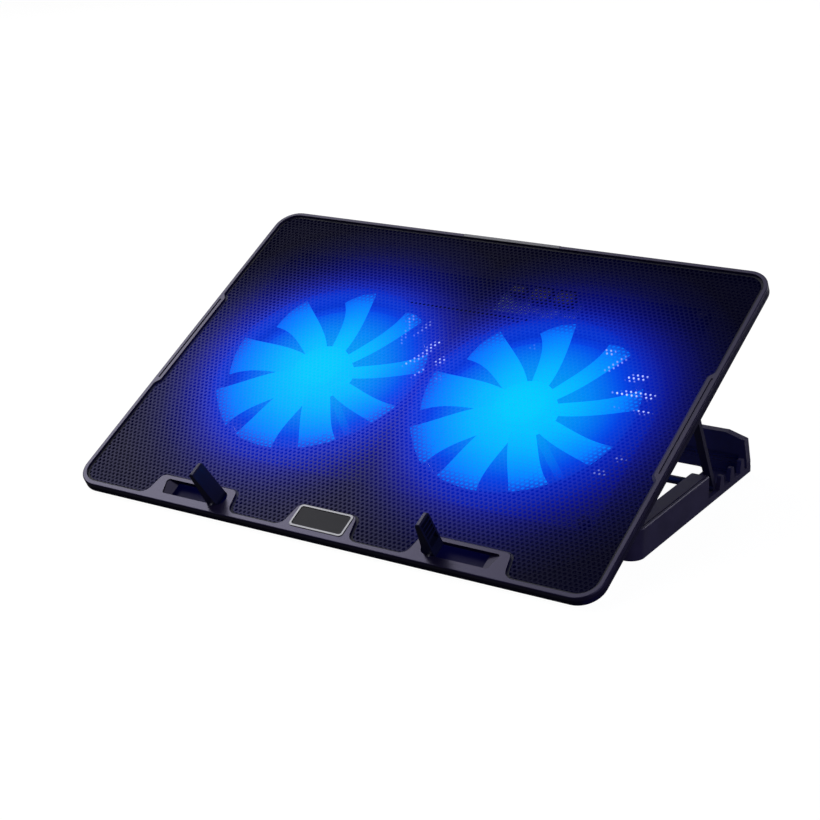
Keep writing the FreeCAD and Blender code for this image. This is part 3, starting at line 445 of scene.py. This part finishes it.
def copper_winding():
    finish = Finish("copper_winding", Metallic=1.0)
    x, y, height = finish.parts(finish.place_on_panel())
    wrap = (height / 0.35).wrapped(1.0)
    wire_bulge_and_crease_shade = (wrap - 0.5) * (wrap - 0.5)
    # Painted shade: the copper darkens toward each turn's edges, where the turns meet; the same profile
    # also drives the bump.
    finish.put(Base_Color=finish.blend(wire_bulge_and_crease_shade.step(0.05, 0.25), (0.55, 0.22, 0.07), (0.2, 0.07, 0.02)))
    finish.put(Roughness=0.3 + 0.1 * finish.noise(0.5 * MM))
    return finish.bump(1 - 4 * wire_bulge_and_crease_shade, 0.08 * MM, 0.7)


# ------------------------------------------------------------------ modelling helpers

def nothing_selected():
    if bpy.context.object and bpy.context.object.mode != "OBJECT":
        bpy.ops.object.mode_set(mode="OBJECT")
    bpy.ops.object.select_all(action="DESELECT")


def take(piece):
    nothing_selected()
    piece.select_set(True)
    bpy.context.view_layer.objects.active = piece
    return piece


def added(name):
    piece = bpy.context.object
    piece.name = name
    piece.data.name = name
    return piece


def edit(piece, mode="FACE"):
    take(piece)
    bpy.ops.object.mode_set(mode="EDIT")
    bpy.ops.mesh.select_mode(type=mode)


def done():
    bpy.ops.object.mode_set(mode="OBJECT")


def pick_faces(piece, test):
    """Select the faces whose middle and normal pass the test, and go to edit mode."""
    edit(piece)
    bpy.ops.mesh.select_all(action="DESELECT")
    done()
    for face in piece.data.polygons:
        face.select = test(face.center, face.normal)
    bpy.ops.object.mode_set(mode="EDIT")


def modify(piece, kind, **settings):
    """Add a modifier and apply it."""
    take(piece)
    made = piece.modifiers.new(kind, kind)
    for name, value in settings.items():
        setattr(made, name, value)
    bpy.ops.object.modifier_apply(modifier=made.name)


def settled(piece, place=PANEL):
    """Put a piece drawn in the panel's flat frame where the panel stands, and fix it there."""
    take(piece)
    piece.matrix_world = place @ piece.matrix_world
    bpy.ops.object.transform_apply(location=True, rotation=True, scale=True)
    return piece


def joined(pieces, name):
    nothing_selected()
    for piece in pieces:
        piece.select_set(True)
    bpy.context.view_layer.objects.active = pieces[0]
    if len(pieces) > 1:
        bpy.ops.object.join()
    return added(name)


def painted(piece, finish):
    piece.data.materials.clear()
    piece.data.materials.append(finish.material)
    return piece


def copied(piece, name):
    twin = piece.copy()
    twin.data = piece.data.copy()
    bpy.context.scene.collection.objects.link(twin)
    twin.name = name
    twin.data.name = name
    return twin


# ------------------------------------------------------------------ mesh screen

def flat_sheet():
    """The CAD sheet, merged and laid in the panel's flat frame, to measure and to cut from."""
    sheet = copied(frame["nodes"]["mesh_screen"], "sheet_outline")
    sheet.parent = None
    for key in list(sheet.keys()):
        del sheet[key]
    settled(sheet, PANEL.inverted())
    edit(sheet, "VERT")
    bpy.ops.mesh.select_all(action="SELECT")
    bpy.ops.mesh.remove_doubles(threshold=0.002 * MM)
    done()
    return sheet


def hole_cell():
    """Two neighbouring rows' cells: a six-sided patch of sheet with a round hole, twice."""
    bpy.ops.mesh.primitive_circle_add(vertices=6, radius=HOLE_PITCH / math.sqrt(3), fill_type="NOTHING")
    cell = added("cell")
    edit(cell, "EDGE")
    bpy.ops.mesh.select_all(action="SELECT")
    bpy.ops.mesh.subdivide(number_cuts=1)
    done()
    bpy.ops.mesh.primitive_circle_add(vertices=12, radius=HOLE_RADIUS, fill_type="NOTHING")
    hole = added("hole")
    cell = joined([cell, hole], "cell")
    edit(cell, "EDGE")
    bpy.ops.mesh.select_all(action="SELECT")
    bpy.ops.mesh.bridge_edge_loops()
    bpy.ops.mesh.normals_make_consistent(inside=False)
    done()
    if cell.data.polygons[0].normal.z < 0:
        edit(cell)
        bpy.ops.mesh.select_all(action="SELECT")
        bpy.ops.mesh.flip_normals()
        done()
    twin = copied(cell, "cell_next_row")
    twin.location = (HOLE_PITCH / 2, ROW_PITCH, 0)
    return joined([cell, twin], "cell_pair")


def mesh_screen():
    sheet = flat_sheet()
    low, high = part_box("mesh_screen")
    half_width = high.x
    depth = (high.y - low.y) / math.cos(TILT)
    columns = math.ceil(2 * half_width / HOLE_PITCH) + 2
    row_pairs = math.ceil(depth / (2 * ROW_PITCH)) + 2
    lattice = hole_cell()
    lattice.location = (-columns // 2 * HOLE_PITCH, FAN_MIDDLE - (row_pairs // 2) * 2 * ROW_PITCH, 0)
    take(lattice)
    bpy.ops.object.transform_apply(location=True, rotation=False, scale=False)
    across = {"use_relative_offset": False, "use_constant_offset": True, "use_merge_vertices": True,
              "merge_threshold": 0.01 * MM}
    modify(lattice, "ARRAY", count=columns, constant_offset_displace=(HOLE_PITCH, 0, 0), **across)
    modify(lattice, "ARRAY", count=row_pairs, constant_offset_displace=(0, 2 * ROW_PITCH, 0), **across)

    margin = SCREEN_TUCK + 0.6 * MM
    probes = [Vector((math.cos(a), math.sin(a), 0)) * margin
              for a in (math.radians(30 + 60 * i) for i in range(6))] + [Vector((0, 0, 0))]
    down = Vector((0, 0, -1))
    known = {}

    def keeps(centre):
        row = round((centre.y - FAN_MIDDLE) / ROW_PITCH)
        shift = 0.5 * (row % 2)
        column = round(centre.x / HOLE_PITCH - shift)
        if (row, column) not in known:
            middle = Vector(((column + shift) * HOLE_PITCH, FAN_MIDDLE + row * ROW_PITCH, 10 * MM))
            known[row, column] = all(sheet.ray_cast(middle + probe, down)[0] for probe in probes)
        return known[row, column]

    pick_faces(lattice, lambda centre, normal: not keeps(centre))
    bpy.ops.mesh.delete(type="FACE")
    done()
    finish = punched_screen()
    strips = []
    strip_width = 2 * half_width / SCREEN_STRIPS
    for i in range(SCREEN_STRIPS):
        strip = copied(lattice, "screen_strip_%d" % (i + 1))
        start = -half_width + i * strip_width
        lowest = -1.0 if i == 0 else start
        highest = 1.0 if i == SCREEN_STRIPS - 1 else start + strip_width

        def outside(centre, normal, lowest=lowest, highest=highest):
            return not lowest <= cell_x(centre) < highest
        pick_faces(strip, outside)
        bpy.ops.mesh.delete(type="FACE")
        done()
        strip.location.z = SCREEN_TOP - 0.04 * MM
        modify(strip, "SOLIDIFY", thickness=SCREEN_THICKNESS, offset=-1.0, use_rim=True)
        settled(strip)
        painted(strip, finish)
        strips.append(strip)
    bpy.data.objects.remove(lattice)

    edge = copied(sheet, "screen_border")
    edit(edge)
    bpy.ops.mesh.select_all(action="SELECT")
    bpy.ops.mesh.dissolve_limited(angle_limit=math.radians(1))
    done()
    top = max(v.co.z for v in edge.data.vertices)
    pick_faces(edge, lambda centre, normal: not (normal.z > 0.9 and abs(centre.z - top) < 0.05 * MM))
    bpy.ops.mesh.delete(type="FACE")
    bpy.ops.mesh.select_all(action="SELECT")
    bpy.ops.mesh.inset(thickness=SCREEN_TUCK + BORDER_WIDTH, use_even_offset=True)
    bpy.ops.mesh.delete(type="FACE")
    done()
    modify(edge, "SOLIDIFY", thickness=0.5 * MM, offset=-1.0, use_rim=True)
    settled(edge)
    painted(edge, border())
    bpy.data.objects.remove(sheet)
    for piece in strips + [edge]:
        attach(piece, "panel")
        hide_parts("mesh_screen")


def cell_x(centre):
    """Middle of the cell that a face belongs to, along X."""
    row = round((centre.y - FAN_MIDDLE) / ROW_PITCH)
    shift = 0.5 * (row % 2)
    return (round(centre.x / HOLE_PITCH - shift) + shift) * HOLE_PITCH


# ------------------------------------------------------------------ fans

def blade_edges(radius):
    """Angles of a blade's two edges at a radius, in degrees: its trailing and leading edge."""
    t = (radius / MM - 20) / 54
    return -20 + 28.5 * t - 11 * t * t, 20 - 20.5 * t + 19 * t * t


def blade():
    """One swept, cambered blade about the Z axis, in the flat frame of a fan."""
    bpy.ops.mesh.primitive_grid_add(x_subdivisions=16, y_subdivisions=10, size=1)
    piece = added("blade")
    root = HUB_RADIUS - 1.0 * MM
    for vertex in piece.data.vertices:
        along, across = vertex.co.x + 0.5, vertex.co.y + 0.5
        radius = root + along * (BLADE_RADIUS - root)
        trail, lead = blade_edges(radius)
        angle = math.radians(trail + across * (lead - trail))
        middle = math.radians((lead + trail) / 2)
        chord = radius * math.sin(angle - middle)
        camber = 1.1 * MM * math.sin(math.pi * across)
        height = BLADE_LEVEL - chord * math.tan(math.radians(BLADE_PITCH)) * 0.92 + camber
        vertex.co = (radius * math.cos(angle), radius * math.sin(angle), height)
    modify(piece, "SOLIDIFY", thickness=BLADE_THICKNESS, offset=0.0, use_rim=True)
    modify(piece, "BEVEL", width=0.3 * MM, segments=2, limit_method="ANGLE", angle_limit=math.radians(50))
    take(piece)
    bpy.ops.object.shade_smooth_by_angle(angle=math.radians(40))
    return piece


def hub():
    """Cup over the motor: rounded crown, a shallow dish in its top, hollow below."""
    bpy.ops.mesh.primitive_cylinder_add(vertices=72, radius=HUB_RADIUS, depth=HUB_TOP - HUB_BOTTOM,
                                        location=(0, 0, (HUB_TOP + HUB_BOTTOM) / 2))
    cup = added("hub")
    take(cup)
    bpy.ops.object.transform_apply(location=True, rotation=True, scale=True)
    pick_faces(cup, lambda centre, normal: normal.z < -0.9)
    bpy.ops.mesh.inset(thickness=5.6 * MM)
    bpy.ops.mesh.extrude_region_move(TRANSFORM_OT_translate={"value": (0, 0, 3 * MM)})
    done()
    pick_faces(cup, lambda centre, normal: normal.z > 0.9 and centre.z > HUB_TOP - 0.1 * MM)
    bpy.ops.mesh.inset(thickness=3.2 * MM)
    bpy.ops.mesh.inset(thickness=0.5 * MM)
    bpy.ops.transform.translate(value=(0, 0, -0.3 * MM))
    done()
    modify(cup, "BEVEL", width=0.9 * MM, segments=3, limit_method="ANGLE", angle_limit=math.radians(60))
    take(cup)
    bpy.ops.object.shade_smooth_by_angle(angle=math.radians(35))
    return cup


def fans():
    blade_finish = lit_plastic("blade_plastic", BLADE_GLOW, (0.0, 0.02, 0.08))
    for side, sign in (("left", -1), ("right", 1)):
        first = blade()
        blades = []
        for i in range(BLADE_COUNT):
            piece = copied(first, "blade_%d" % i)
            piece.rotation_euler.z = math.radians(BLADE_PHASE + i * 360 / BLADE_COUNT)
            blades.append(piece)
        bpy.data.objects.remove(first)
        crown = hub()
        place = PANEL @ Matrix.Translation((sign * FAN_X, FAN_MIDDLE, 0))
        for piece in (joined(blades, "fan_blades_" + side), joined([crown], "fan_hub_" + side)):
            settled(piece, place)
            painted(piece, blade_finish)
            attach(piece, "rotor_" + side)
            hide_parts("fan_rotor_" + side)


# ------------------------------------------------------------------ finishes of the CAD nodes

def finish_nodes():
    steel = metal("plated_steel", (0.6, 0.6, 0.62), 0.28)
    plated = metal("dark_plating", (0.09, 0.09, 0.1), 0.45)
    case = lit_plastic("fan_case", BACK_GLOW, (0.0, 0.01, 0.05), (-2.0, 3.0))
    black = moulded("black_plastic", (0.014, 0.014, 0.017), 0.42)
    board = lit_inside(circuit_board())
    soft = rubber()
    finishes = {
        "top_frame": gloss_frame(),
        "bottom_cover": lower_cover(),
        "base_frame": shell(),
        "base_pads": soft, "prop_sleeves": soft, "fan_leads": soft,
        "badge_bezel": metal("bright_bezel", (0.19, 0.19, 0.205), 0.3),
        "badge_plate": metal("brushed_field", (0.022, 0.022, 0.025), 0.4, (1, 60, 60), 2.5 * MM),
        "rear_trim": metal("satin_trim", (0.13, 0.13, 0.145), 0.35, (1, 20, 20), 2 * MM),
        "stop_left": moulded("stop_plastic", (0.010, 0.012, 0.045), 0.3),
        "hinge_pins": steel, "stop_pins": steel, "prop_pins": steel, "cover_screws": steel,
        "usb_sockets": plated, "switch_body": plated, "switch_slider": black,
        "control_board": board,
        "prop_frame": moulded("prop_paint", (0.022, 0.020, 0.05), 0.4, 0.8 * MM, 0.01 * MM),
    }
    finishes["stop_right"] = finishes["stop_left"]
    magnet = metal("ferrite", (0.09, 0.09, 0.1), 0.55)
    bronze = metal("sintered_bronze", (0.6, 0.36, 0.16), 0.42)
    winding = copper_winding()
    lamp = lit_plastic("lamp_lens", BACK_GLOW, (0.02, 0.05, 0.12), gain=1.1)
    gauze = lit_plastic("filter_gauze", BACK_GLOW, (0.0, 0.01, 0.05), (-6.0, 9.0))
    for side in ("_left", "_right"):
        finishes.update({
            "fan_frame" + side: case, "rotor_magnet" + side: magnet, "fan_shaft" + side: steel,
            "fan_bearing" + side: bronze, "stator" + side: winding, "motor_board" + side: board,
            "leds" + side: lamp, "fan_screws" + side: steel, "dust_filter" + side: gauze})
    for node, finish in finishes.items():
        painted(frame["nodes"][node], finish)


# ------------------------------------------------------------------ floor, light and camera

def floor():
    bpy.ops.mesh.primitive_plane_add(size=12, location=(0, 0, -0.1 * MM))
    ground = added("floor")
    finish = Finish("pale_floor", Roughness=0.9, Emission_Strength=0.97, Specular_IOR_Level=0.0)
    speckle = finish.noise(0.3, 2)
    finish.put(Base_Color=finish.blend(speckle, (0.10, 0.10, 0.10), (0.12, 0.12, 0.12)))
    finish.put(Emission_Color=(1.0, 1.0, 1.0))
    painted(ground, finish)
    ground.visible_diffuse = False
    ground.visible_glossy = False


def softbox(name, direction, distance, size, radiance, colour=(1.0, 1.0, 1.0)):
    """Square lamp of even radiance that faces the object's middle."""
    lamp = bpy.data.lights.new(name, "AREA")
    lamp.shape = "RECTANGLE"
    lamp.size, lamp.size_y = size
    lamp.energy = radiance * math.pi * size[0] * size[1]
    lamp.color = colour
    holder = bpy.data.objects.new(name, lamp)
    away = Vector(direction).normalized()
    holder.location = away * distance + Vector((0, 0, 0.06))
    holder.rotation_mode = "QUATERNION"
    holder.rotation_quaternion = away.to_track_quat("Z", "Y")
    holder.visible_camera = False
    bpy.context.scene.collection.objects.link(holder)


def studio():
    world = bpy.data.worlds.new("studio")
    bpy.context.scene.world = world
    world.use_nodes = True
    tree = world.node_tree
    shade = tree.nodes["Background"]
    shade.inputs["Color"].default_value = (1, 1, 1, 1)
    seen = tree.nodes.new("ShaderNodeLightPath")
    strength = tree.nodes.new("ShaderNodeMapRange")
    strength.inputs["To Min"].default_value = 0.03
    strength.inputs["To Max"].default_value = 1.0
    tree.links.new(seen.outputs["Is Camera Ray"], strength.inputs["Value"])
    tree.links.new(strength.outputs["Result"], shade.inputs["Strength"])
    softbox("overhead", (-0.64, 0.07, 0.76), 2.0, (0.7, 0.9), 2.6)
    softbox("overhead_wide", (-0.50, 0.21, 0.84), 2.2, (1.9, 1.9), 1.3)
    softbox("front_left", (-0.75, -0.75, 0.55), 2.4, (1.2, 1.2), 0.45, (0.8, 0.78, 1.0))
    softbox("right_side", (0.95, -0.35, 0.40), 2.2, (1.6, 1.2), 2.2, (0.82, 0.82, 1.0))
    softbox("back_left", (-0.52, 0.78, 0.34), 2.4, (1.6, 0.7), 0.6)
    softbox("behind", (0.35, 0.92, 0.12), 2.2, (1.8, 0.9), 3.0)
    softbox("left_side", (-0.95, 0.28, 0.13), 2.2, (1.4, 0.8), 2.0)


def camera():
    """Long lens from the front right, above the panel."""
    place = PANEL_ORIGIN + Vector((619.5, -824.9, 448.4)) * MM
    ahead = Vector((-0.5188, 0.7851, -0.3384)).normalized()
    upward = Vector((-0.1585, 0.3006, 0.9405))
    side = ahead.cross(upward).normalized()
    upward = side.cross(ahead)
    lens = bpy.data.cameras.new("camera")
    lens.sensor_width = 36.0
    lens.lens = 82.27
    holder = bpy.data.objects.new("camera", lens)
    turn = Matrix((side, upward, -ahead)).transposed().to_4x4()
    holder.matrix_world = Matrix.Translation(place) @ turn
    bpy.context.scene.collection.objects.link(holder)
    bpy.context.scene.camera = holder


bpy.context.scene.view_settings.view_transform = "Standard"
camera()
floor()
studio()
finish_nodes()
mesh_screen()
fans()
